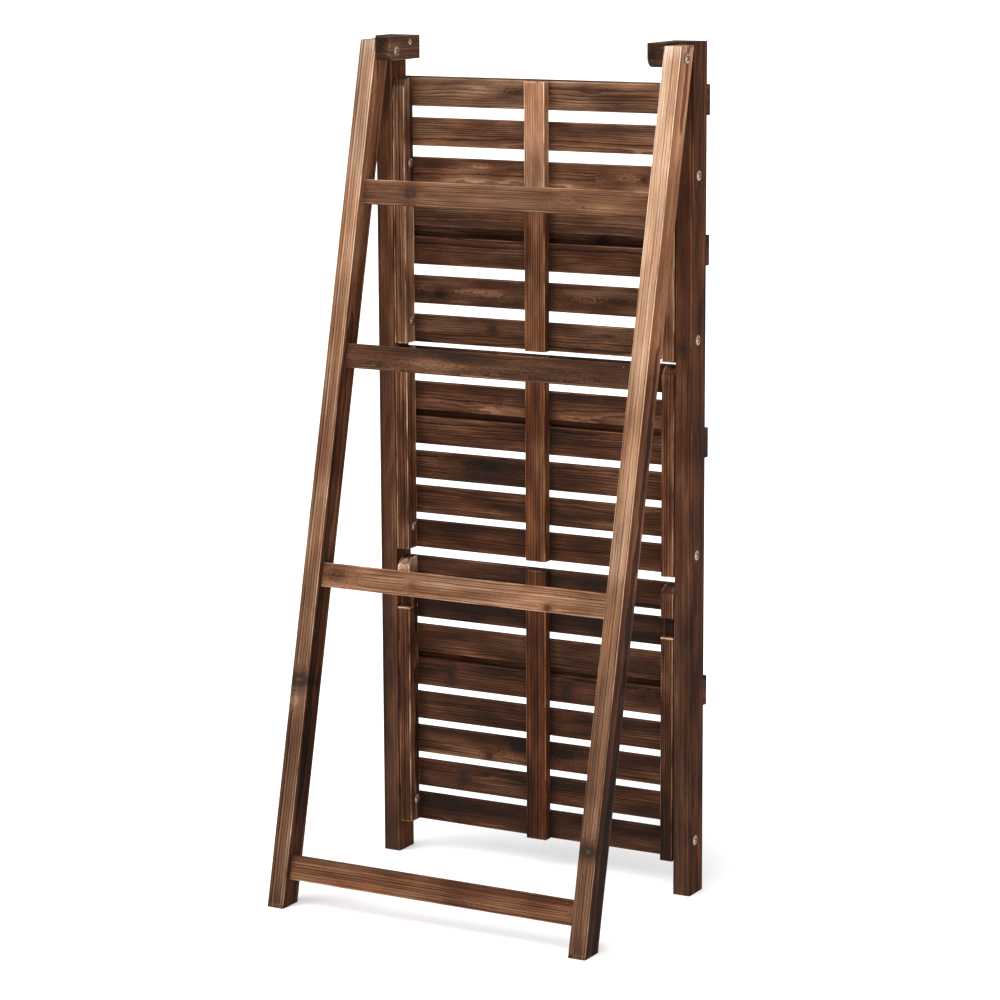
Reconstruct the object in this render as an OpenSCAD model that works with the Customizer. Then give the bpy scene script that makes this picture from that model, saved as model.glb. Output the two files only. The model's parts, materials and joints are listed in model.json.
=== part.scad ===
// Folding ladder stand for plants: a front frame of posts and rails, a hinged rear frame of
// legs and rungs, and four slatted shelves that fold up between the posts.
// X runs along the width, +Y points to the rear legs, Z is up and 0 at the floor.
// The stand is drawn open, with its shelves folded up.

/* [Front frame] */
// Width over the outer faces of the posts
stand_w = 500; // [400:5:700]
// Width of posts and legs, seen from the front
upright_w = 26; // [20:1:34]
// Depth of the posts, front to rear
post_d = 42; // [38:1:50]
// Height of the posts above the folded top shelf
post_over = 59.5; // [50:0.5:120]
// Height of the rails
rail_h = 42; // [25:1:60]
// Thickness of the rails
rail_t = 9; // [6:0.5:15]
// Lower edge of each rail above the lower edge of the shelf it backs, top shelf first
rail_rises = [111, 131, 164.5, 221]; // [60:0.5:250]
// Radius of the eased long edges of the timber
edge_r = 1.5; // [0.5:0.1:2.5]

/* [Rear frame] */
// Depth of the legs, square to their length
leg_d = 38; // [32:1:46]
// Lean of the legs when the stand is open, in degrees
leg_angle = 13.2; // [12:0.1:14]
// Top of the legs below the top of the posts
leg_drop = 4; // [2:0.5:12]
// Leg hinge below the top of the posts
hinge_drop = 20.5; // [18:0.5:30]
// Height of the rungs, along the legs
rung_h = 34; // [24:1:45]
// Thickness of the rungs
rung_t = 14; // [10:0.5:20]
// Rear face of the rungs in front of the rear face of the legs
rung_inset = 10; // [5:0.5:14]
// Length of the tenons on the rungs
tenon_l = 12; // [6:1:18]
// Shoulder above and below each tenon
tenon_shoulder = 5; // [3:0.5:8]

/* [Hinge blocks] */
// Width of the blocks inside the posts
block_w = 23; // [18:0.5:28]
// Height of the blocks
block_h = 33; // [26:1:40]
// Top of the blocks below the top of the posts
block_drop = 0; // [0:0.5:8]
// Front end of the blocks behind the front face of the posts
block_inset = 1; // [0:0.5:4]
// Radius of the lower rear corner of the blocks
block_r = 15; // [5:0.5:20]

/* [Shelves] */
// Number of slats on each shelf, top shelf first
slat_counts = [3, 4, 6, 8]; // [2:1:10]
// Gap between the slats of each shelf
slat_gaps = [16, 16, 10.8, 10.8]; // [6:0.2:20]
// Width of the slats
slat_w = 40; // [30:1:50]
// Thickness of the slats
slat_t = 9; // [6:0.5:12]
// Lower edge of the folded bottom shelf above the floor
bottom_z = 47; // [40:1:100]
// Free height above each folded shelf but the top one, second shelf first
shelf_spaces = [17, 6.5, 13.4]; // [6:0.1:40]
// Width of the side battens
batten_w = 18.5; // [14:0.5:24]
// Depth of the side battens, behind the slats
batten_d = 24; // [22:0.5:30]
// Radius of the rounded free ends of the side battens
batten_r = 17; // [5:0.5:20]
// Side battens inside the posts
batten_gap = 2; // [1:0.1:4]
// Width of the centre battens
centre_w = 32; // [24:1:44]
// Thickness of the centre battens
centre_t = 15; // [8:0.5:15]
// Shelf hinge above the lower end of the battens
pivot_up = 31.5; // [24:0.5:40]
// Shelf hinge in front of the rear face of the battens
pivot_in = 16; // [15.5:0.1:17]
// Depth of the notch that hooks over the bottom rung
notch_d = 8.5; // [4:0.1:8.5]
// Room in the notch in front of the rung
notch_front = 3; // [2:0.5:6]
// Room in the notch behind the rung
notch_rear = 9.5; // [6:0.5:14]

/* [Fasteners] */
// Diameter of the hinge pins
pin_d = 6; // [5:0.5:8]
// Diameter of the pins' heads
head_d = 13.5; // [10:0.5:15]
// Height of the pins' heads
head_h = 3.2; // [2:0.1:4]
// Height of the straight rim of the heads
head_rim = 1.2; // [0.5:0.1:1.8]
// Width of the cross recess in the heads
cross_w = 1.3; // [0.8:0.1:2]
// Length of the cross recess in the heads
cross_l = 7; // [4:0.5:9]
// Depth of the cross recess in the heads
cross_h = 1.5; // [0.8:0.1:1.9]
// Diameter of the washers beside the shelf battens
washer_d = 15; // [10:0.5:18]
// Shank diameter of the wood screws
screw_d = 4; // [3:0.5:5]
// Head diameter of the wood screws
screw_head_d = 8; // [6:0.5:9]
// Length of the screws in the rails
rail_screw_l = 30; // [20:1:45]
// Length of the screws in the hinge blocks
block_screw_l = 38; // [30:1:45]
// Rail screws from the upper and lower edges of a rail
rail_screw_edge = 11; // [8:0.5:14]
// Block screw below the top of the block
block_screw_drop = 9; // [5:0.5:12]
// Block screw behind the front face of the posts
block_screw_in = 27.6; // [12:0.2:32]

/* [Fits] */
// Clearance all round pins and screws in their holes
running_gap = 0.05; // [0.02:0.01:0.1]
// Gap between faces that turn past each other
side_gap = 0.4; // [0.3:0.1:1]
// Gap left where one frame or shelf rests on another
seat_gap = 0.3; // [0.2:0.1:0.6]

/* [Hidden] */
$fn = 48;
SHELVES = [0:3];
SIDES = [-1, 1];

// Folded shelves stand on top of each other between the posts, the bottom one last in each list.
shelf_l = [for (k = SHELVES) slat_counts[k] * slat_w + (slat_counts[k] - 1) * slat_gaps[k]];
shelf_3_z = bottom_z + shelf_l[3] + shelf_spaces[2];
shelf_2_z = shelf_3_z + shelf_l[2] + shelf_spaces[1];
shelf_1_z = shelf_2_z + shelf_l[1] + shelf_spaces[0];
shelf_z = [shelf_1_z, shelf_2_z, shelf_3_z, bottom_z];
post_h = shelf_1_z + shelf_l[0] + post_over;

// Across the stand
post_x = stand_w / 2 - upright_w;
batten_out = post_x - batten_gap;
batten_in = batten_out - batten_w;
leg_x = post_x + side_gap;

// Front to rear, from the front face of the posts
batten_y = post_d - batten_d;
slat_y = batten_y - slat_t;
pivot_y = post_d - pivot_in;

// The legs lean against the rear edge of the posts' tops and hinge half way through their depth.
leg_top = post_h - leg_drop;
leg_y = post_d + side_gap + leg_top * tan(leg_angle);
foot_y = leg_y + leg_d / cos(leg_angle);
hinge_z = post_h - hinge_drop;
hinge_y = leg_y - hinge_z * tan(leg_angle) + leg_d / 2 / cos(leg_angle);
block_l = hinge_y + leg_d / 2 - block_inset;
mid_y = (foot_y - rail_t) / 2;

// Each rung's upper rear edge carries the lowered shelf; the bottom rung reaches into the notch.
rung_rear = leg_d - rung_inset;
rung_front = rung_rear - rung_t;
function seat_z(k) = shelf_z[k] + pivot_up - pivot_in - seat_gap + (k == 3 ? notch_d : 0);
function rung_top(k) =
    (seat_z(k) - edge_r - (rung_rear - edge_r) * sin(leg_angle)) / cos(leg_angle) + edge_r;
// Place on the lowered bottom shelf of a point of the leg's section, s along it and t across
function leg_point_y(s, t) = leg_y - s * sin(leg_angle) + t * cos(leg_angle);
notch_from = leg_point_y(rung_top(3), rung_front) - notch_front - pivot_y;
notch_to = leg_point_y(rung_top(3), rung_rear) + notch_d * tan(leg_angle) + notch_rear - pivot_y;

hole_d = pin_d + 2 * running_gap;
screw_hole_d = screw_d + 2 * running_gap;
screw_head_hole_d = screw_head_d + 2 * running_gap;
screw_cone_h = (screw_head_d - screw_d) / 2;
block_screw_z = post_h - block_drop - block_screw_drop;
block_screw_tip = post_x - block_w + block_screw_l;
rail_screw_xs = [-stand_w / 2 + upright_w / 2, stand_w / 2 - upright_w / 2];

// The stand's own frame: the middle of its footprint
module in_frame() {
    translate([0, -mid_y, 0]) children();
}

// The leaning frame of the legs: Y across their depth from the front face, Z along them
module in_legs() {
    in_frame() translate([0, leg_y, 0]) rotate([leg_angle, 0, 0]) children();
}

// Rectangle with eased corners
module eased(w, d) {
    translate([edge_r, 0]) square([w - 2 * edge_r, d]);
    translate([0, edge_r]) square([w, d - 2 * edge_r]);
    for (x = [edge_r, w - edge_r], y = [edge_r, d - edge_r]) translate([x, y]) circle(edge_r);
}

// Upright bar: eased section w by d, from z = 0 to l
module upright(w, d, l) {
    linear_extrude(l) eased(w, d);
}

// Cross bar: eased section d by h, centred on x = 0
module crossbar(l, d, h) {
    translate([-l / 2, 0, 0]) rotate([90, 0, 90]) linear_extrude(l) eased(d, h);
}

// Hole or shank across the stand, from x1 to x2
module across(x1, x2, y, z, d) {
    translate([x1, y, z]) rotate([0, 90, 0]) cylinder(d = d, h = x2 - x1);
}

// Mirrors a right-hand piece for the left side
module on_side(side) {
    mirror([side < 0 ? 1 : 0, 0, 0]) children();
}

// Shank and countersunk head of the rail screws or, with more width, their holes
module rail_screw_shapes(rail, shank_d, sink_d) {
    for (x = rail_screw_xs, z = [rail_screw_edge, rail_h - rail_screw_edge])
        translate([x, -rail_t, shelf_z[rail] + rail_rises[rail] + z]) rotate([-90, 0, 0]) {
            cylinder(d = shank_d, h = rail_screw_l);
            cylinder(d1 = sink_d, d2 = shank_d, h = screw_cone_h);
        }
}

module post(side) {
    color("#6f4630") in_frame() difference() {
        on_side(side) translate([post_x, 0, 0]) upright(upright_w, post_d, post_h);
        for (k = SHELVES)
            across(-stand_w, stand_w, pivot_y, shelf_z[k] + pivot_up, hole_d);
        for (k = SHELVES) rail_screw_shapes(k, screw_hole_d, screw_head_hole_d);
        across(-block_screw_tip, block_screw_tip, block_screw_in, block_screw_z, screw_hole_d);
    }
}

module rail(k) {
    color("#7d5138") in_frame() difference() {
        translate([0, -rail_t, shelf_z[k] + rail_rises[k]]) crossbar(stand_w, rail_t, rail_h);
        rail_screw_shapes(k, screw_hole_d, screw_head_hole_d);
    }
}

// Outline of a hinge block, seen from the side
module block_outline() {
    difference() {
        square([block_l, block_h]);
        translate([block_l - block_r, 0]) square(block_r);
    }
    intersection() {
        translate([block_l - block_r, 0]) square(block_r);
        translate([block_l - block_r, block_r]) circle(block_r);
    }
}

module block(side) {
    color("#7a5038") in_frame() difference() {
        on_side(side)
            translate([post_x - block_w, block_inset, post_h - block_drop - block_h])
                rotate([90, 0, 90]) linear_extrude(block_w) block_outline();
        across(-stand_w, stand_w, hinge_y, hinge_z, hole_d);
        across(-stand_w, stand_w, block_screw_in, block_screw_z, screw_hole_d);
    }
}

// Tenons and their mortises
module tenon(k) {
    translate([0, rung_front, rung_top(k) - rung_h + tenon_shoulder])
        crossbar(2 * (leg_x + tenon_l), rung_t, rung_h - 2 * tenon_shoulder);
}

module leg(side) {
    color("#a87850") difference() {
        intersection() {
            in_legs() on_side(side) translate([leg_x, 0, -leg_d])
                upright(upright_w, leg_d, 2 * leg_d + leg_top / cos(leg_angle));
            in_frame() translate([-stand_w, 0, 0]) cube([2 * stand_w, foot_y + leg_d, leg_top]);
        }
        in_legs() for (k = SHELVES) tenon(k);
        in_frame() across(-stand_w, stand_w, hinge_y, hinge_z, hole_d);
    }
}

module rung(k) {
    color("#8f6040") in_legs() {
        translate([0, rung_front, rung_top(k) - rung_h]) crossbar(2 * leg_x, rung_t, rung_h);
        tenon(k);
    }
}

// Side outline of a batten: X is the depth behind the slats, Y the height above the lower end
module batten_outline(k) {
    r = min(batten_r, batten_d - edge_r);
    difference() {
        square([batten_d, shelf_l[k]]);
        translate([batten_d - r, shelf_l[k] - r]) square(r);
        if (k == 3)
            translate([batten_d - notch_d, pivot_up + notch_from])
                square([notch_d, notch_to - notch_from]);
    }
    intersection() {
        translate([batten_d - r, shelf_l[k] - r]) square(r);
        translate([batten_d - r, shelf_l[k] - r]) circle(r);
    }
}

module batten(k, side) {
    color("#6a4531") in_frame() difference() {
        on_side(side) translate([batten_in, batten_y, shelf_z[k]])
            rotate([90, 0, 90]) linear_extrude(batten_w) batten_outline(k);
        across(-stand_w, stand_w, pivot_y, shelf_z[k] + pivot_up, hole_d);
    }
}

module centre_batten(k) {
    color("#a06c45") in_frame()
        translate([-centre_w / 2, batten_y, shelf_z[k]]) upright(centre_w, centre_t, shelf_l[k]);
}

module slat(k, i) {
    color("#7b4c33") in_frame()
        translate([0, slat_y, shelf_z[k] + i * (slat_w + slat_gaps[k])])
            crossbar(2 * batten_out, slat_t, slat_w);
}

// Domed head with a cross recess, standing on z = 0
module domed_head() {
    dome = head_h - head_rim;
    dome_r = (pow(head_d / 2, 2) + pow(dome, 2)) / (2 * dome);
    difference() {
        rotate_extrude() intersection() {
            translate([0, head_h - dome_r]) circle(dome_r);
            square([head_d / 2, head_h]);
        }
        for (turn = [0, 90]) rotate(turn)
            translate([-cross_l / 2, -cross_w / 2, head_h - cross_h]) cube([cross_l, cross_w, cross_h]);
    }
}

// Hinge pin with a head at each end, its heads seated on x1 and x2
module pin(x1, x2, y, z) {
    translate([x1, y, z]) rotate([0, -90, 0]) domed_head();
    translate([x2, y, z]) rotate([0, 90, 0]) domed_head();
    across(x1 - head_rim / 2, x2 + head_rim / 2, y, z, pin_d);
}

module leg_pins() {
    color("#b9a27a") in_frame() for (side = SIDES) on_side(side)
        pin(post_x - block_w, leg_x + upright_w + side_gap, hinge_y, hinge_z);
}

module shelf_pins() {
    color("#b9a27a") in_frame() for (side = SIDES, k = SHELVES) on_side(side)
        pin(batten_in - seat_gap, stand_w / 2, pivot_y, shelf_z[k] + pivot_up);
}

module shelf_washers() {
    color("#b9a27a") in_frame() for (side = SIDES, k = SHELVES) on_side(side) difference() {
        across(batten_out + seat_gap, post_x, pivot_y, shelf_z[k] + pivot_up, washer_d);
        across(0, stand_w, pivot_y, shelf_z[k] + pivot_up, hole_d);
    }
}

// One screw through each block into its post
module block_screws() {
    color("#b9a27a") in_frame() for (side = SIDES) on_side(side)
        translate([post_x - block_w, block_screw_in, block_screw_z]) {
            rotate([0, 90, 0]) cylinder(d = screw_d, h = block_screw_l);
            rotate([0, -90, 0]) cylinder(d1 = screw_head_d, d2 = screw_d, h = screw_cone_h);
        }
}

module rail_screws() {
    color("#b9a27a") in_frame() for (k = SHELVES) rail_screw_shapes(k, screw_d, screw_head_d);
}

post(-1);  // post_left
post(1);  // post_right
block(-1);  // block_left
block(1);  // block_right
leg(-1);  // leg_left
leg(1);  // leg_right
for (k = SHELVES) {
    rail(k);
    rung(k);
    batten(k, -1);
    batten(k, 1);
    centre_batten(k);
    for (i = [1:slat_counts[k]])
        slat(k, i - 1);
}
leg_pins();
shelf_pins();
shelf_washers();
block_screws();
rail_screws();
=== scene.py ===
import json
import random
from math import cos, pi, radians, sin, tan

import bmesh
import bpy
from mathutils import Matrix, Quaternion, Vector


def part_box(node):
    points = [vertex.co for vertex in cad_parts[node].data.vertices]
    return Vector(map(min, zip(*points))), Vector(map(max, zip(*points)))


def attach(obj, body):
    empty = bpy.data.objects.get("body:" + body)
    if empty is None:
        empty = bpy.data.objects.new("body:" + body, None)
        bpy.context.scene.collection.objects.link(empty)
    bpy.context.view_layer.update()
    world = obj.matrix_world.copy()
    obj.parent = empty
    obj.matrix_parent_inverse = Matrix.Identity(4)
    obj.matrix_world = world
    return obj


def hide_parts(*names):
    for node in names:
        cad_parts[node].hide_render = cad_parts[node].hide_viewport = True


# Folding ladder stand for plants in scorched fir, seen from behind with its shelves folded up.
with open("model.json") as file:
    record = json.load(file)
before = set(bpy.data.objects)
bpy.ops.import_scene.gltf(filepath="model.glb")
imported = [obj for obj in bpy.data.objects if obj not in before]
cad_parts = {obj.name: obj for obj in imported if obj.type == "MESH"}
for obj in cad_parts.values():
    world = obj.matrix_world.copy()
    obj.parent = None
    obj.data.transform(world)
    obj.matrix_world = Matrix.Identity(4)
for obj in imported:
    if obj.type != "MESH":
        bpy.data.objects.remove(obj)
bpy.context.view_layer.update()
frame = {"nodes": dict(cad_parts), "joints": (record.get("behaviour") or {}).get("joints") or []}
nodes = frame["nodes"]
print("frame loaded:", len(nodes), "solids")

# Camera at the photograph's place: yaw turns it from -Y towards +X, in degrees
cameraView = {
    "place": (-2.1998, 3.9119, 1.4165),
    "yaw": 29.098,
    "pitch": 10.697,
    "roll": -0.302,
    "lens": 119.39,
    "sensor": 36,
    "farthest": 200,
}


def makeCamera(view):
    yaw, pitch = radians(view["yaw"]), radians(view["pitch"])
    ahead = Vector((sin(yaw) * cos(pitch), -cos(yaw) * cos(pitch), -sin(pitch)))
    camera = bpy.data.objects.new("camera", bpy.data.cameras.new("camera"))
    camera.data.sensor_width = view["sensor"]
    camera.data.lens = view["lens"]
    camera.data.clip_end = view["farthest"]
    camera.location = view["place"]
    camera.rotation_mode = "QUATERNION"
    level = ahead.to_track_quat("-Z", "Y")
    camera.rotation_quaternion = level @ Quaternion((0, 0, 1), radians(view["roll"]))
    bpy.context.scene.collection.objects.link(camera)
    bpy.context.scene.camera = camera


makeCamera(cameraView)
print("camera set")


# Shader maths: an output that can be added, multiplied and so on
class Wire:
    def __init__(self, finish, socket):
        self.finish = finish
        self.socket = socket

    def __add__(self, other):
        return self.finish.maths("ADD", self, other)

    def __radd__(self, other):
        return self.finish.maths("ADD", other, self)

    def __sub__(self, other):
        return self.finish.maths("SUBTRACT", self, other)

    def __rsub__(self, other):
        return self.finish.maths("SUBTRACT", other, self)

    def __mul__(self, other):
        return self.finish.maths("MULTIPLY", self, other)

    def __rmul__(self, other):
        return self.finish.maths("MULTIPLY", other, self)

    def __truediv__(self, other):
        return self.finish.maths("DIVIDE", self, other)

    def __rtruediv__(self, other):
        return self.finish.maths("DIVIDE", other, self)

    def __pow__(self, other):
        return self.finish.maths("POWER", self, other)

    def __rpow__(self, other):
        return self.finish.maths("POWER", other, self)

    def __abs__(self):
        return self.finish.maths("ABSOLUTE", self)


# One material being built
class Finish:
    def __init__(self, name):
        self.material = bpy.data.materials.new(name)
        self.material.use_nodes = True
        self.tree = self.material.node_tree
        self.tree.nodes.clear()

    # Any node: its settings go in first, then its sockets by name or number
    def node(self, kind, settings=None, sockets=None, output=0):
        made = self.tree.nodes.new(kind)
        for key, value in (settings or {}).items():
            if key == "stops":
                self.setStops(made.color_ramp, value)
            else:
                setattr(made, key, value)
        for key, value in (sockets or {}).items():
            if isinstance(value, Wire):
                self.tree.links.new(value.socket, made.inputs[key])
            else:
                made.inputs[key].default_value = value
        return Wire(self, made.outputs[output]) if len(made.outputs) else None

    def setStops(self, ramp, stops):
        while len(ramp.elements) < len(stops):
            ramp.elements.new(0.5)
        for element, (place, colour) in zip(ramp.elements, stops):
            element.position = place
            element.color = (*colour, 1)

    def maths(self, operation, *values):
        return self.node("ShaderNodeMath", {"operation": operation}, dict(enumerate(values)))

    # Smooth step from 0 at low to 1 at high
    def rise(self, value, low, high):
        settings = {"interpolation_type": "SMOOTHSTEP"}
        return self.node("ShaderNodeMapRange", settings, {"Value": value, "From Min": low, "From Max": high})

    def noise(self, place, scale, detail, roughness=0.5):
        sockets = {"Vector": place, "Scale": scale, "Detail": detail, "Roughness": roughness}
        return self.node("ShaderNodeTexNoise", {"noise_dimensions": "3D"}, sockets)

    def point(self, x, y, z):
        return self.node("ShaderNodeCombineXYZ", {}, {0: x, 1: y, 2: z})

    # Where on the piece a point of the surface lies, in metres
    def spot(self):
        return self.node("ShaderNodeTexCoord", output=3)

    # Colour mixed from a to b by share, with any of the Mix node's blend types
    def mix(self, share, a, b, blend="MIX"):
        sockets = {0: share, 6: self.rgba(a), 7: self.rgba(b)}
        settings = {"data_type": "RGBA", "blend_type": blend}
        return self.node("ShaderNodeMix", settings, sockets, output=2)

    def rgba(self, colour):
        return colour if isinstance(colour, Wire) else (*colour, 1)

    def bump(self, height, strength, distance):
        return self.node("ShaderNodeBump", {}, {"Height": height, "Strength": strength, "Distance": distance})

    def finish(self, sockets):
        shader = self.node("ShaderNodeBsdfPrincipled", {}, sockets)
        self.node("ShaderNodeOutputMaterial", {}, {"Surface": shader})
        return self.material


# Frame of one board, for its grain: its middle, its directions along, across and deep, and half its
# size in each
def boardOf(middle, along, across, deep, halves):
    return {"middle": middle, "along": along, "across": across, "deep": deep, "halves": halves}


lean = radians(-next(joint for joint in frame["joints"] if joint["name"] == "leg_hinge")["range_deg"][0])
easedRadius = 0.0015


def boardOfNode(name):
    low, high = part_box(name)
    middle, size = (low + high) / 2, high - low
    kind = name.split("_")[0]
    if kind == "leg":
        depth = (size.y - size.z * tan(lean)) * cos(lean)
        return boardOf(
            middle, (0, -sin(lean), cos(lean)), (1, 0, 0), (0, cos(lean), sin(lean)),
            (size.z / cos(lean) / 2, size.x / 2, depth / 2),
        )
    if kind == "rung":
        # the easing of the corners takes a little off the leaning section's box
        eased = 2 * easedRadius * (cos(lean) + sin(lean) - 1)
        y, z = size.y + eased, size.z + eased
        thick = (y * cos(lean) - z * sin(lean)) / cos(2 * lean)
        tall = (z * cos(lean) - y * sin(lean)) / cos(2 * lean)
        return boardOf(
            middle, (1, 0, 0), (0, -sin(lean), cos(lean)), (0, cos(lean), sin(lean)),
            (size.x / 2, tall / 2, thick / 2),
        )
    if kind in ("slat", "rail"):
        return boardOf(middle, (1, 0, 0), (0, 0, 1), (0, 1, 0), (size.x / 2, size.z / 2, size.y / 2))
    if kind == "block":
        return boardOf(middle, (0, 1, 0), (1, 0, 0), (0, 0, 1), (size.y / 2, size.x / 2, size.z / 2))
    return boardOf(middle, (0, 0, 1), (1, 0, 0), (0, 1, 0), (size.z / 2, size.x / 2, size.y / 2))


# Scorched fir. A board's colour comes from one value between 0, charred, and 1, pale and bare, and
# this ramp turns it into a colour.
firRamp = (
    (0.00, (0.0105, 0.0070, 0.0052)),
    (0.15, (0.0245, 0.0110, 0.0068)),
    (0.35, (0.0720, 0.0270, 0.0135)),
    (0.55, (0.1900, 0.0860, 0.0430)),
    (0.75, (0.4000, 0.2300, 0.1350)),
    (1.00, (0.7800, 0.5600, 0.3900)),
)
charColour = (0.0215, 0.0165, 0.0135)
knotColour = (0.048, 0.038, 0.032)
# The ramp's colour is multiplied by one of these, or by a mix of both
warmTint = (1.14, 0.94, 0.80)
greyTint = (0.88, 1.04, 1.20)

# For each kind of board. Lengths are in metres, and everything else is in the ramp's values.
#   level           mean value
#   rings           strength of the growth rings, and so on for smoke and fibre
#   fade            what is added at the lower and at the upper end
#   sides           what the narrow or side faces get on top, a painted shade where it is below 0, and sideShadeFade the painted shade they get at the lower end
#   char, wearAndHighlight  share of grey smudges, and light rub on the edges, partly wear and partly a
#   painted highlight
#   grey            how far the wood has lost its red, and greyLow the same towards the lower end
#   warmSides       how much redder the side faces are
#   heart           the log's heart, across and deep from the board's middle
#   ring, sway      spacing of the rings, and how far they wander
#   top, hollowShade  how pale and grey the upper end is rubbed, and how dark the painted shade in the notch
#   is
plainLook = {"fade": (0.0, 0.0), "sideShadeFade": 0.0, "greyLow": 0.0, "warmSides": 0.0, "top": 0.0, "hollowShade": 0.0}
firLooks = {
    "leg": {
        "level": 0.52, "rings": 0.30, "smoke": 0.32, "fibre": 0.25, "fade": (-0.16, 0.13),
        "sides": -0.21, "sideShadeFade": -0.04, "char": 0.12, "wearAndHighlight": 0.20,
        "grey": 0.12, "greyLow": 0.48, "warmSides": 0.30,
        "heart": (0.055, 0.010), "ring": 0.0040, "sway": 0.0030, "top": 0.08,
    },
    "post": {
        "level": 0.31, "rings": 0.17, "smoke": 0.50, "fibre": 0.17, "fade": (-0.01, 0.0),
        "sides": -0.05, "sideShadeFade": -0.04, "char": 0.08, "wearAndHighlight": 0.12,
        "grey": 0.06, "greyLow": 0.55, "warmSides": 0.48,
        "heart": (0.050, 0.014), "ring": 0.0042, "sway": 0.0040,
    },
    "rail": {
        "level": 0.36, "rings": 0.17, "smoke": 0.60, "fibre": 0.22,
        "sides": -0.03, "char": 0.26, "wearAndHighlight": 0.14, "grey": 0.28,
        "heart": (0.020, 0.045), "ring": 0.0019, "sway": 0.0045,
    },
    "rung": {
        "level": 0.44, "rings": 0.22, "smoke": 0.42, "fibre": 0.22,
        "sides": 0.0, "char": 0.20, "wearAndHighlight": 0.18, "grey": 0.18,
        "heart": (0.046, 0.026), "ring": 0.0030, "sway": 0.0030,
    },
    "batten": {
        "level": 0.35, "rings": 0.36, "smoke": 0.70, "fibre": 0.22, "fade": (0.0, 0.03),
        "sides": 0.02, "char": 0.14, "wearAndHighlight": 0.36, "grey": 0.06,
        "heart": (0.045, 0.010), "ring": 0.0036, "sway": 0.0024, "top": 0.07, "hollowShade": 0.28,
    },
    "centre": {
        "level": 0.39, "rings": 0.26, "smoke": 0.62, "fibre": 0.16, "fade": (0.0, 0.02),
        "sides": -0.06, "char": 0.14, "wearAndHighlight": 0.30, "grey": -0.10,
        "heart": (0.060, 0.006), "ring": 0.0036, "sway": 0.0022,
    },
    "slat": {
        "level": 0.33, "rings": 0.27, "smoke": 0.60, "fibre": 0.24,
        "sides": -0.02, "char": 0.30, "wearAndHighlight": 0.18, "grey": 0.24,
        "heart": (0.018, 0.028), "ring": 0.0020, "sway": 0.0042,
    },
    "block": {
        "level": 0.33, "rings": 0.18, "smoke": 0.50, "fibre": 0.22,
        "sides": 0.0, "char": 0.45, "wearAndHighlight": 0.16, "grey": 0.60,
        "heart": (0.030, 0.040), "ring": 0.0034, "sway": 0.0030,
    },
}
# What is added for each shelf or rung, from the top one down
shelfLevels = {
    "slat": (0.09, 0.02, -0.05, -0.08), "centre": (0.25, -0.03, -0.08, -0.17),
    "batten": (0.06, 0.02, -0.03, -0.03), "rung": (0.03, -0.11, 0.09, -0.01),
}
# What single boards add to the level at their lower and upper ends, and to "grey"
boardTones = {
    "leg_left": (-0.03, 0.07, -0.04), "leg_right": (0.04, -0.01, 0.10), "post_right": (-0.04, -0.02, 0.0),
    "rung_1": (0.02, 0.02, 0.10), "rung_2": (-0.03, -0.03, 0.20), "rung_4": (-0.06, 0.02, -0.10),
    "batten_right_1": (-0.05, -0.05, 0.20), "batten_left_4": (-0.26, -0.06, 0.10),
    "centre_batten_3": (0.0, 0.0, -0.10), "centre_batten_4": (0.0, 0.0, -0.15),
    "slat_1_1": (-0.06, -0.06, 0.0), "slat_1_3": (0.02, 0.02, 0.20),
    "slat_2_1": (-0.02, -0.02, 0.10), "slat_2_2": (-0.07, -0.07, 0.10), "slat_2_3": (-0.04, -0.04, 0.0),
    "slat_2_4": (-0.05, -0.02, 0.20), "slat_3_1": (-0.07, -0.07, -0.20), "slat_3_4": (0.03, 0.03, -0.10),
    "slat_3_6": (-0.17, -0.17, 0.10), "slat_4_1": (-0.06, -0.06, 0.0), "slat_4_7": (-0.12, -0.12, 0.0),
    "slat_4_8": (-0.04, -0.04, 0.0),
}
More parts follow.
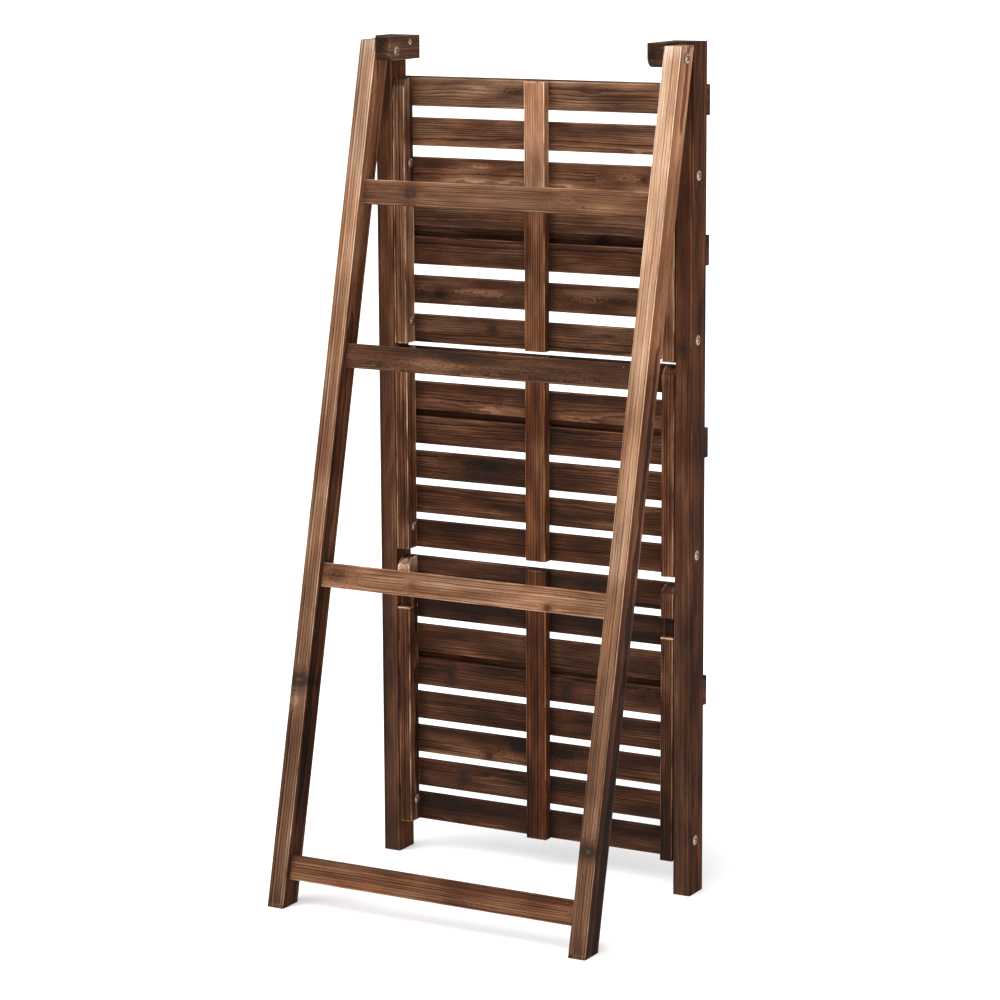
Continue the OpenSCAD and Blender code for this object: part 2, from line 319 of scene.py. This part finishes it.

# Knots, the pale tongues of the grain and painted highlights on notch ledges: along and across the board from
# its middle, radius across in metres, how dark, how much longer along the board than across, and how far the
# middle is paler
knots = {
    "rung_1": ((0.149, 0.000, 0.0080, 0.17, 1.1, 0.5), (-0.095, 0.000, 0.0050, -0.05, 3.0, 0.0)),
    "rung_2": ((0.080, -0.004, 0.0060, -0.06, 8.0, 0.0), (-0.110, 0.000, 0.0060, 0.06, 6.0, 0.0)),
    "rung_3": ((-0.134, -0.011, 0.0045, 0.20, 1.2, 0.3), (0.202, 0.002, 0.0080, 0.12, 2.2, 0.0),
               (0.079, 0.000, 0.0060, 0.05, 1.0, 0.0)),
    "rung_4": ((-0.226, 0.006, 0.0040, -0.12, 1.6, 0.0),),
    "leg_left": ((-0.4715, 0.000, 0.0115, 0.26, 0.62, 1.1),),
    "leg_right": ((-0.2950, 0.000, 0.0170, 0.26, 0.50, 0.9), (-0.325, 0.004, 0.0070, -0.10, 1.0, 0.0)),
    "slat_1_1": ((0.093, 0.011, 0.0042, -0.12, 4.0, 0.0), (-0.141, 0.002, 0.0050, -0.12, 4.5, 0.0),
                 (-0.163, 0.001, 0.0040, 0.16, 1.6, 0.0)),
    "slat_1_3": ((0.040, 0.004, 0.0060, 0.10, 3.0, 0.0),),
    "slat_2_1": ((0.0756, 0.005, 0.0046, 0.26, 1.1, 0.0), (-0.105, 0.007, 0.0030, 0.14, 5.0, 0.0)),
    "slat_2_2": ((0.098, 0.000, 0.0058, -0.12, 7.0, 0.0), (0.161, -0.004, 0.0060, 0.16, 1.8, 0.0),
                 (-0.075, 0.000, 0.0060, -0.08, 4.0, 0.0), (-0.125, 0.001, 0.0050, 0.10, 4.0, 0.0)),
    "slat_3_5": ((0.066, 0.000, 0.0045, 0.14, 0.9, 2.0),),
    "slat_3_3": ((0.093, 0.007, 0.0080, 0.16, 4.0, 0.0), (0.112, -0.010, 0.0050, 0.16, 1.2, 0.0)),
    "slat_4_5": ((-0.042, 0.000, 0.0065, 0.18, 1.0, 0.0), (-0.164, 0.004, 0.0050, 0.12, 1.2, 0.0),
                 (0.149, 0.002, 0.0080, 0.16, 0.6, 0.0)),
    "slat_4_3": ((0.035, 0.008, 0.0090, 0.18, 1.7, 0.0), (0.0857, -0.012, 0.0052, 0.20, 1.2, 0.0),
                 (-0.035, 0.002, 0.0110, 0.13, 1.6, 0.0)),
    "slat_4_2": ((0.128, 0.000, 0.0090, 0.13, 0.7, 0.4),),
    # On each of the two lowest battens the first mark, a thin pale line on the notch's lower ledge, is a
    # painted highlight
    "batten_left_4": ((0.1240, 0.0, 0.020, -0.42, 0.05, 0.0),),
    "batten_right_4": ((0.1240, 0.0, 0.020, -0.34, 0.05, 0.0), (0.196, 0.0, 0.022, -0.24, 0.7, 0.0)),
    "post_left": ((0.180, 0.002, 0.0050, 0.14, 1.3, 0.0),),
    "rail_2": ((-0.090, 0.006, 0.0060, 0.20, 1.5, 0.0),),
    "rail_4": ((0.140, -0.008, 0.0055, 0.20, 1.5, 0.0),),
}
# Stretches that the flame left darker or paler: where along the board, how far they stay full, where
# they end, and how much they add
stains = {
    "leg_left": ((-0.055, 0.035, 0.080, 0.07), (0.105, 0.040, 0.090, -0.04), (0.305, 0.030, 0.100, -0.02),
                 (0.530, 0.040, 0.110, 0.04), (-0.540, 0.040, 0.100, 0.04)),
    "leg_right": ((-0.060, 0.030, 0.070, 0.05), (0.030, 0.020, 0.060, -0.05), (0.225, 0.030, 0.070, -0.05),
                  (-0.420, 0.030, 0.080, -0.04), (-0.560, 0.030, 0.080, 0.05)),
}
# The same on a slat, a painted shade with some char that is darkest where it crosses its three battens:
# places are shares of half its length
slatShadeAndChar = {"places": (-1, 0, 1), "full": 0.010, "end": 0.032, "added": -0.08}

# Noises of the grain: how often they change along and across the board, per metre, their detail and
# roughness, and which of the board's own shifts comes first
clouds = {
    "sway": (3.2, 14, 2.0, 0.5, 0), "fineSway": (22, 90, 2.0, 0.5, 1), "knotEdge": (110, 260, 3.0, 0.6, 1),
    "lines": (9, 110, 1.0, 0.5, 2), "smoke": (11, 46, 2.5, 0.5, 0), "bands": (2.5, 70, 1.5, 0.5, 1),
    "fibre": (11, 460, 4.0, 0.72, 2), "fineFibre": (150, 700, 2.0, 0.6, 0), "redness": (9, 50, 2.0, 0.5, 2),
    "rubAndHighlight": (22, 120, 2.0, 0.5, 2), "gloss": (30, 500, 2.0, 0.5, 1),
}
# Growth rings: one ring runs from 0 to 1, and pairs are where a step in it starts and is full. The line
# is the dark late wood: "faint" is its least strength, "broken" and "lineClouds" how it comes and goes
# along the board, "flat" what is left of it above the log's heart and "mean" what it takes on average.
ringLook = {
    "heartAway": (0.6, 1.4), "fineSway": 0.0020, "widthScale": 160, "widthSway": 1.6,
    "lineStart": (0.50, 0.90), "lineEnd": (0.92, 1.0), "earlyWood": (0.02, 0.30),
    "faint": 0.35, "broken": 0.4, "lineClouds": 1.2, "fainterSides": 0.4, "flat": 0.3, "flatWidth": 0.010,
    "mean": 0.14, "earlyShare": 0.5,
}
# Knots: pairs are distances, in knot radii, over which the bend of the rings and a knot's core, halo,
# pale middle and ash fade away. A mark as long as "tongue" or longer has less ash.
knotLook = {
    "bend": (0.8, 2.6), "rings": 2.2, "core": (0.5, 1.4), "halo": (1.0, 3.2), "haloShare": 0.35,
    "middle": (0.2, 0.7), "fainterSides": 0.6, "ashy": (0.6, 1.7), "ashen": 1.3,
    "tongue": 1.5, "tongueAshen": 0.3,
}
# The rest of the grain: pairs are where a step starts and is full, in a noise or in metres from an edge.
# By chance a board's level differs by "lightness", and by "slope" from side to side, and its noises are
# moved by up to "shift". "topRub" is measured from the upper end.
grainLook = {
    "sideTurn": (0.0, 0.0012), "smudge": (0.54, 0.78), "rubEdge": (0.0003, 0.0022), "rubbed": (0.32, 0.56),
    "endGrain": (0.0002, 0.0010), "hollowShade": (0.0006, 0.0020), "topRub": (0.030, 0.004), "paleHollow": 0.6,
    "fineFibre": 0.25, "bands": 0.22, "darkEnds": 0.16, "lightness": 0.025, "slope": (-0.08, 0.03),
    "stainSway": 0.05, "greyTop": 4, "cleanSides": 0.6, "shift": 40,
    "roughness": 0.48, "glossClouds": 0.18, "sootRoughness": 0.12,
    "lineRelief": 0.5, "fibreRelief": 1.2, "bump": (0.4, 0.0005), "specular": 0.015,
}


def firFinish(name, board, look, level, marks, patches, seed):
    fir = Finish("fir." + name)
    middle, halves = board["middle"], board["halves"]
    spot = fir.node("ShaderNodeVectorMath", {"operation": "SUBTRACT"}, {0: fir.spot(), 1: tuple(middle)})

    def part(direction):
        settings = {"operation": "DOT_PRODUCT"}
        return fir.node("ShaderNodeVectorMath", settings, {0: spot, 1: direction}, output=1)

    along, across, deep = part(board["along"]), part(board["across"]), part(board["deep"])
    chance = random.Random(seed)
    shift = [chance.uniform(-grainLook["shift"], grainLook["shift"]) for axis in range(3)]

    def cloud(pattern):
        alongScale, acrossScale, detail, roughness, turn = clouds[pattern]
        a, b, c = shift[turn:] + shift[:turn]
        place = fir.point(along * alongScale + a, across * acrossScale + b, deep * acrossScale + c)
        return fir.noise(place, 1.0, detail, roughness)

    # the same about 0, for a noise's mean is 0.5
    def swing(pattern):
        return cloud(pattern) - 0.5

    def gap(place, half):
        return half - abs(place)

    sideGap, faceGap, endGap = gap(across, halves[1]), gap(deep, halves[2]), gap(along, halves[0])
    onSide = fir.rise(faceGap - sideGap, *grainLook["sideTurn"])
    upward = fir.rise(along, -halves[0], halves[0])

    # growth rings: distance from the log's heart, which wanders along the board
    sway = swing("sway") * (2 * look["sway"]) + swing("fineSway") * ringLook["fineSway"]
    heartAcross, heartDeep = (
        chance.choice((-1, 1)) * chance.uniform(*ringLook["heartAway"]) * size for size in look["heart"]
    )
    offHeart = across - heartAcross
    radius = (offHeart ** 2 + (deep - heartDeep) ** 2) ** 0.5 + sway
    widths = fir.noise(fir.point(radius * ringLook["widthScale"], shift[0], shift[1]), 1.0, 1.0)
    turns = radius / look["ring"] + widths * ringLook["widthSway"]

    # rings bend round a knot, and close into ovals inside it
    dark, ashy = 0, 0
    for knotAlong, knotAcross, size, darkness, longer, paler in marks:
        far = (((along - knotAlong) / (longer * size)) ** 2 + ((across - knotAcross) / size) ** 2) ** 0.5
        ragged = far + swing("knotEdge")
        bend = (1 - fir.rise(ragged, *knotLook["bend"])) * (1 - onSide)
        turns = turns * (1 - bend) + ragged * knotLook["rings"] * bend
        core = (1 - fir.rise(ragged, *knotLook["core"])) * darkness
        halo = (1 - fir.rise(ragged, *knotLook["halo"])) * (knotLook["haloShare"] * darkness)
        pale = (1 - fir.rise(ragged, *knotLook["middle"])) * (paler * abs(darkness))
        dark = dark + (core + halo - pale) * (1 - knotLook["fainterSides"] * onSide)
        ashenShare = knotLook["ashen"] * max(0, darkness)
        if longer >= knotLook["tongue"]:
            ashenShare *= knotLook["tongueAshen"]
        ashy = ashy + (1 - fir.rise(ragged, *knotLook["ashy"])) * (1 - onSide) * ashenShare

    ring, whichRing = fir.maths("FRACT", turns), fir.maths("FLOOR", turns)
    strength = fir.node("ShaderNodeTexWhiteNoise", {"noise_dimensions": "1D"}, {"W": whichRing})
    line = fir.rise(ring, *ringLook["lineStart"]) * (1 - fir.rise(ring, *ringLook["lineEnd"]))
    line = line * (ringLook["faint"] + (1 - ringLook["faint"]) * strength)
    line = line * (ringLook["broken"] + ringLook["lineClouds"] * cloud("lines"))
    line = line * (1 - ringLook["fainterSides"] * onSide)
    # paler where the rings lie flat in the face, above the log's heart
    steep = fir.rise(abs(offHeart), 0.0, ringLook["flatWidth"])
    line = line * (ringLook["flat"] + (1 - ringLook["flat"]) * steep)
    earlyWood = (1 - fir.rise(ring, *ringLook["earlyWood"])) * strength

    # smoke from the flame, fibres, grey smudges where the smoke is darkest, and redder stretches
    smoke = cloud("smoke")
    fineShare = grainLook["fineFibre"]
    fibre = (1 - fineShare) * cloud("fibre") + fineShare * cloud("fineFibre") - 0.5
    smudge = fir.rise(smoke, *grainLook["smudge"])

    # edges rubbed pale with a painted highlight, dark ends and the painted shade in the notch, from the gaps
    # to the board's faces
    lower = fir.maths("MINIMUM", sideGap, faceGap)
    upper = fir.maths("MAXIMUM", sideGap, faceGap)
    edgeGap = fir.maths("MAXIMUM", lower, fir.maths("MINIMUM", upper, endGap))
    rubAndHighlight = (1 - fir.rise(edgeGap, *grainLook["rubEdge"])) * fir.rise(cloud("rubAndHighlight"), *grainLook["rubbed"])
    endGrain = 1 - fir.rise(endGap, *grainLook["endGrain"])
    hollowShade = fir.rise(lower, *grainLook["hollowShade"])
    rubFrom, rubFull = grainLook["topRub"]
    topRub = fir.rise(along, halves[0] - rubFrom, halves[0] - rubFull)

    value = level + chance.uniform(-grainLook["lightness"], grainLook["lightness"])
    value = value + look["rings"] * (ringLook["mean"] - line + ringLook["earlyShare"] * earlyWood)
    value = value + look["smoke"] * (0.5 - smoke) + grainLook["bands"] * swing("bands")
    value = value + look["fibre"] * 2 * fibre
    # the side faces get a painted shade, for the light falls less on them, and more of it towards the lower
    # end
    value = value + across * (chance.uniform(*grainLook["slope"]) / halves[1]) + look["sides"] * onSide
    foot, head = look["fade"]
    value = value + foot + (head - foot) * upward + look["sideShadeFade"] * onSide * (1 - upward)
    # pale edges: partly wear and partly a painted highlight where the light catches the eased edges
    value = value - grainLook["darkEnds"] * endGrain + look["wearAndHighlight"] * rubAndHighlight - dark
    # painted shade in the notch, with less of it near the upper end
    value = value + look["top"] * topRub - look["hollowShade"] * hollowShade * (1 - grainLook["paleHollow"] * topRub)
    # darker or paler stretches; on a slat they are painted shade, with some char, where its battens cross it
    for place, full, end, added in patches:
        near = abs(along - place) + (smoke - 0.5) * grainLook["stainSway"]
        value = value + added * (1 - fir.rise(near, full, end))

    greyness = cloud("redness") + look["grey"] + look["greyLow"] * (1 - upward) ** 2 * (1 - onSide)
    greyness = greyness - look["warmSides"] * onSide + look["top"] * grainLook["greyTop"] * topRub
    colour = fir.node("ShaderNodeValToRGB", {"stops": firRamp}, {0: value})
    colour = fir.mix(1.0, colour, fir.mix(greyness, warmTint, greyTint), "MULTIPLY")
    colour = fir.mix(ashy, colour, knotColour)
    colour = fir.mix(smudge * look["char"] * (1 - grainLook["cleanSides"] * onSide), colour, charColour)

    roughness = grainLook["roughness"] + grainLook["glossClouds"] * cloud("gloss")
    roughness = roughness + grainLook["sootRoughness"] * smudge
    relief = (1 - line) * grainLook["lineRelief"] + fibre * grainLook["fibreRelief"]
    return fir.finish({
        "Base Color": colour, "Roughness": roughness, "Normal": fir.bump(relief, *grainLook["bump"]),
        "Specular IOR Level": grainLook["specular"],
    })


# Nickel-plated steel, painted dark with dirt and shade in the recess of each head, and dark on the painted
# shadow ring round it. "clouds" is how often the tarnish changes, per metre, and "tarnished" where in that
# noise it starts and is full.
nickelLook = {
    "bright": (0.58, 0.41, 0.30), "dull": (0.27, 0.185, 0.135), "dirt": (0.022, 0.013, 0.010),
    "clouds": 900, "detail": 3.0, "tarnished": (0.35, 0.70), "cleanDirtAndShade": 0.25, "bump": (0.1, 0.0002),
    "roughness": 0.24, "cloudRoughness": 0.15, "dirtAndShadeRoughness": 0.40, "dirtAndShadeDulls": 0.80,
}


def nickelFinish(look):
    metal = Finish("nickel")
    cloud = metal.noise(metal.spot(), look["clouds"], look["detail"])
    # the dark cover: dirt, and painted shade in the recesses and in the shadow ring round each head
    dirt = metal.node("ShaderNodeAttribute", {"attribute_name": "dirt"}, output=2)
    colour = metal.mix(metal.rise(cloud, *look["tarnished"]), look["bright"], look["dull"])
    cover = dirt * (1 - look["cleanDirtAndShade"] + look["cleanDirtAndShade"] * cloud)
    return metal.finish({
        "Base Color": metal.mix(cover, colour, look["dirt"]),
        "Metallic": 1 - look["dirtAndShadeDulls"] * dirt,
        "Roughness": look["roughness"] + look["cloudRoughness"] * cloud + look["dirtAndShadeRoughness"] * dirt,
        "Normal": metal.bump(cloud, *look["bump"]),
    })


def paint(piece, material):
    piece.data.materials.clear()
    piece.data.materials.append(material)


nickel = nickelFinish(nickelLook)
for seed, name in enumerate(sorted(nodes)):
    if name.endswith(("pins", "washers", "screws")):
        paint(nodes[name], nickel)
        continue
    kind, board = name.split("_")[0], boardOfNode(name)
    look = dict(plainLook, **firLooks[kind])
    numbers = [int(word) for word in name.split("_") if word.isdigit()]
    level = look["level"] + (shelfLevels[kind][numbers[0] - 1] if kind in shelfLevels else 0)
    atFoot, atHead, ashen = boardTones.get(name, (0, 0, 0))
    look["fade"] = (look["fade"][0] + atFoot, look["fade"][1] + atHead)
    look["grey"] += ashen
    patches = stains.get(name, ())
    # a slat's patches are painted shade, with some char, where its battens cross it
    if kind == "slat":
        full, end, added = slatShadeAndChar["full"], slatShadeAndChar["end"], slatShadeAndChar["added"]
        patches = [(place * board["halves"][0], full, end, added) for place in slatShadeAndChar["places"]]
    paint(nodes[name], firFinish(name, board, look, level, knots.get(name, ()), patches, seed))
print("solids painted")


# Fasteners, in metres. "arm" and "armWidth" are the cross recess, "depth" its depth, "steps" the
# facets round the head and "seat" the width of the dark ring round it on the wood, a painted shadow.
# "cone" is how far the head tapers into the wood and "grime" its least dirt.
pinLook = {
    "radius": 0.00675, "height": 0.0034, "rim": 0.0009, "shank": 0.003, "seat": 0.0009,
    "arm": 0.0050, "armWidth": 0.0034, "depth": 0.0010, "steps": 48,
}
screwLook = {
    "radius": 0.0040, "height": 0.0003, "rim": 0.0, "shank": 0.0019,
    "arm": 0.0026, "armWidth": 0.0012, "depth": 0.0014, "steps": 40, "cone": 0.0026,
}
nailLook = {
    "radius": 0.0021, "height": 0.0002, "rim": 0.0, "shank": 0.0009,
    "arm": 0, "steps": 20, "cone": 0.0006, "grime": 0.55,
}
bradLook = dict(nailLook, radius=0.0007, height=0.0003, cone=0.0004)
# The rings of points that make up a head. "recess" are shares of the recess' reach, "dome" shares of
# the way from its edge to "domeEdge", each with its share of dirt and painted shade, and "plain" shares of
# the radius on a head without a recess. Edges are shares of the radius and "rimHeight" of the rim, and the
# painted shadow ring on the wood falls from "shadowRingTop" to "shadowRingEdge", in metres.
headRings = {
    "recess": (0.25, 0.60, 0.84), "dome": ((0.12, 0.15), (0.4, 0.0), (0.7, 0.0)), "plain": (0.3, 0.6, 0.85),
    "domeEdge": 0.92, "rimEdge": 0.96, "rimHeight": 0.8,
    "recessDirtAndShade": 0.9, "edgeDirt": 0.1, "rimShade": 0.7, "shadowRingTop": 0.0002, "shadowRingEdge": 0.0001,
}
tiny = 0.001  # keeps a division from 0


# Distance from a head's middle to the outline of its cross recess
def recessReach(turn, look):
    fold = (turn + pi / 4) % (pi / 2) - pi / 4
    return min(look["arm"] / cos(fold), look["armWidth"] / 2 / max(abs(sin(fold)), tiny))


def addFastener(mesh, dirt, place, outward, look, length):
    outward = Vector(outward)
    sideways = outward.orthogonal().normalized()
    upward = outward.cross(sideways)
    radius, steps = look["radius"], look["steps"]

    def dome(r):
        return look["rim"] + (look["height"] - look["rim"]) * (1 - (r / radius) ** 2)

    def ring(reach, height, dirtAndShadeShare):
        made = []
        for step in range(steps):
            turn = 2 * pi * step / steps
            r = reach(turn)
            offset = sideways * (r * cos(turn)) + upward * (r * sin(turn))
            vertex = mesh.verts.new(Vector(place) + offset + outward * height(r))
            vertex[dirt] = max(dirtAndShadeShare, look.get("grime", 0))
            made.append(vertex)
        return made

    # a round ring at one height
    def hoop(size, high, dirtAndShadeShare):
        return ring(lambda turn: size, lambda r: high, dirtAndShadeShare)

    rings = []
    # the cross recess is painted dark, as dirt and as the shade inside it
    if look["arm"]:
        recessFloor = dome(0) - look["depth"]
        for share in headRings["recess"]:
            rings.append(ring(lambda turn: share * recessReach(turn, look), lambda r: recessFloor, 1.0))
        rings.append(ring(lambda turn: recessReach(turn, look), dome, headRings["recessDirtAndShade"]))
        for share, dirtAndShadeShare in headRings["dome"]:
            def between(turn):
                edge = recessReach(turn, look)
                return edge + share * (radius * headRings["domeEdge"] - edge)
            rings.append(ring(between, dome, dirtAndShadeShare))
    else:
        for share in headRings["plain"]:
            rings.append(hoop(share * radius, dome(share * radius), headRings["edgeDirt"]))
    rimRadius = headRings["rimEdge"] * radius
    rings.append(hoop(rimRadius, dome(rimRadius), headRings["edgeDirt"]))
    # the rim's outer wall gets a painted shade, and a flat ring on the wood round the head is painted dark as
    # its shadow
    rings.append(hoop(radius, headRings["rimHeight"] * look["rim"], headRings["rimShade"]))
    rings.append(hoop(radius, headRings["shadowRingTop"], 1.0))
    rings.append(hoop(radius + look.get("seat", 0), headRings["shadowRingEdge"], 1.0))
    rings.append(hoop(look["shank"], -look.get("cone", 0), 1.0))
    rings.append(hoop(look["shank"], -length, 1.0))
    for outer, inner in zip(rings[1:], rings):
        for step in range(steps):
            after = (step + 1) % steps
            mesh.faces.new((inner[step], outer[step], outer[after], inner[after]))
    mesh.faces.new(rings[0])
    mesh.faces.new(rings[-1][::-1])


sharpAngle = 38  # degrees from which an edge stays sharp


# One piece of many fasteners: spots are (place, outward, length)
def makeFasteners(name, body, look, spots, *replaced):
    mesh = bmesh.new()
    dirt = mesh.verts.layers.float.new("dirt")
    for place, outward, length in spots:
        addFastener(mesh, dirt, place, outward, look, length)
    bmesh.ops.recalc_face_normals(mesh, faces=mesh.faces)
    data = bpy.data.meshes.new(name)
    mesh.to_mesh(data)
    mesh.free()
    for polygon in data.polygons:
        polygon.use_smooth = True
    data.set_sharp_from_angle(angle=radians(sharpAngle))
    piece = bpy.data.objects.new(name, data)
    bpy.context.scene.collection.objects.link(piece)
    paint(piece, nickel)
    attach(piece, body)
    if replaced:
        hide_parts(*replaced)


# How far pins' heads sit off a leg's side and off a batten's, how far rail screws are from a rail's
# edges, and how long the screws are
fit = {
    "side": 0.0004, "seat": 0.0003, "railScrew": 0.011, "railScrewLength": 0.030, "blockScrewLength": 0.038,
}
sides = {"left": -1, "right": 1}
shelves = range(1, 5)
hinges = {joint["name"]: joint["pos_m"] for joint in frame["joints"]}


# The two halves of a hinge pin, with a head on x1 and a head on x2
def pinSpots(x1, x2, y, z, side):
    half = abs(x2 - x1) / 2
    return [((side * x1, y, z), (-side, 0, 0), half), ((side * x2, y, z), (side, 0, 0), half)]


legPins, shelfPins, blockScrews, railScrews = [], [], [], []
for word, side in sides.items():
    blockLow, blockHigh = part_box("block_" + word)
    legLow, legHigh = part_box("leg_" + word)
    postLow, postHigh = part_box("post_" + word)
    blockIn, legOut = min(abs(blockLow.x), abs(blockHigh.x)), max(abs(legLow.x), abs(legHigh.x))
    postOut, postMiddle = max(abs(postLow.x), abs(postHigh.x)), (postLow.x + postHigh.x) / 2
    hinge = hinges["leg_hinge"]
    legPins += pinSpots(blockIn, legOut + fit["side"], hinge[1], hinge[2], side)
    screwLow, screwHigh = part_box("block_screws")
    screwPlace = (side * blockIn, (screwLow.y + screwHigh.y) / 2, (screwLow.z + screwHigh.z) / 2)
    blockScrews.append((screwPlace, (-side, 0, 0), fit["blockScrewLength"]))
    for number in shelves:
        battenLow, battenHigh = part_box(f"batten_{word}_{number}")
        battenIn = min(abs(battenLow.x), abs(battenHigh.x))
        hinge = hinges[f"shelf_{number}_hinge"]
        shelfPins += pinSpots(battenIn - fit["seat"], postOut, hinge[1], hinge[2], side)
        railLow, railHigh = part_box(f"rail_{number}")
        for z in (railLow.z + fit["railScrew"], railHigh.z - fit["railScrew"]):
            railScrews.append(((postMiddle, railLow.y, z), (0, -1, 0), fit["railScrewLength"]))
makeFasteners("legPins", "front_frame", pinLook, legPins, "leg_pins")
makeFasteners("shelfPins", "front_frame", pinLook, shelfPins, "shelf_pins")
makeFasteners("blockScrews", "front_frame", screwLook, blockScrews, "block_screws")
makeFasteners("railScrews", "front_frame", screwLook, railScrews, "rail_screws")
print("pins and screws made")

# Nails that hold the slats to their battens, two at each crossing, and a brad at each rung's end.
# "across" and "up" are measured from the board's middle line, and "in" from the leg's side.
nailPlace = {"across": 0.010, "length": 0.018}
bradPlace = {"in": 0.0145, "up": 0.0120, "length": 0.010}
for number in shelves:
    nails = []
    supports = [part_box(f"{name}_{number}") for name in ("batten_left", "centre_batten", "batten_right")]
    for name in sorted(nodes):
        if name.startswith(f"slat_{number}_"):
            slatLow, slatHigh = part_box(name)
            for low, high in supports:
                for step in (-1, 1):
                    z = (slatLow.z + slatHigh.z) / 2 + step * nailPlace["across"]
                    nails.append((((low.x + high.x) / 2, slatLow.y, z), (0, -1, 0), nailPlace["length"]))
    makeFasteners(f"slatNails_{number}", f"shelf_{number}", nailLook, nails)
brads = []
for number in shelves:
    board = boardOfNode(f"rung_{number}")
    up, out = Vector(board["across"]), Vector(board["deep"])
    for side in sides.values():
        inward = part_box("leg_right")[0].x - bradPlace["in"]
        offset = up * bradPlace["up"] + out * board["halves"][2]
        place = Vector((side * inward, board["middle"].y, board["middle"].z)) + offset
        brads.append((place, out, bradPlace["length"]))
makeFasteners("rungBrads", "rear_frame", bradLook, brads)
print("nails made")

# Plain pale floor, lit a little from below as on a shooting table, and soft light from high on the
# camera's left
studio = {
    "floorSize": 160, "floorColour": (0.90, 0.90, 0.90), "floorDust": (0.80, 0.80, 0.80), "dustShare": 0.03,
    "dustClouds": 40, "dustDetail": 3.0, "floorRoughness": 0.9, "floorGlow": 0.16, "sky": 0.84,
    "keyFrom": (1.0, 2.0, 3.4), "keyStrength": 2.8, "keySoftness": 60,
    "fillFrom": (-2.4, 1.2, 1.8), "fillStrength": 0.4, "fillSoftness": 90,
}


def makeSun(name, source, strength, softness):
    sun = bpy.data.objects.new(name, bpy.data.lights.new(name, "SUN"))
    sun.data.energy = strength
    sun.data.angle = radians(softness)
    sun.rotation_mode = "QUATERNION"
    sun.rotation_quaternion = Vector(source).to_track_quat("Z", "Y")
    bpy.context.scene.collection.objects.link(sun)


def floorFinish(look):
    pale = Finish("floor")
    dust = pale.noise(pale.spot(), look["dustClouds"], look["dustDetail"])
    return pale.finish({
        "Base Color": pale.mix(dust * look["dustShare"], look["floorColour"], look["floorDust"]),
        "Roughness": look["floorRoughness"],
        "Emission Color": (1, 1, 1, 1), "Emission Strength": look["floorGlow"],
    })


def makeStudio(look):
    mesh = bpy.data.meshes.new("floor")
    half = look["floorSize"] / 2
    corners = [(-half, -half, 0), (half, -half, 0), (half, half, 0), (-half, half, 0)]
    mesh.from_pydata(corners, [], [(0, 1, 2, 3)])
    floor = bpy.data.objects.new("floor", mesh)
    bpy.context.scene.collection.objects.link(floor)
    paint(floor, floorFinish(look))
    makeSun("keyLight", look["keyFrom"], look["keyStrength"], look["keySoftness"])
    makeSun("fillLight", look["fillFrom"], look["fillStrength"], look["fillSoftness"])
    world = bpy.data.worlds.new("studio")
    world.use_nodes = True
    background = world.node_tree.nodes["Background"]
    background.inputs["Color"].default_value = (1, 1, 1, 1)
    background.inputs["Strength"].default_value = look["sky"]
    bpy.context.scene.world = world
    bpy.context.scene.view_settings.view_transform = "Standard"  # keeps the white floor white


makeStudio(studio)
print("studio ready")
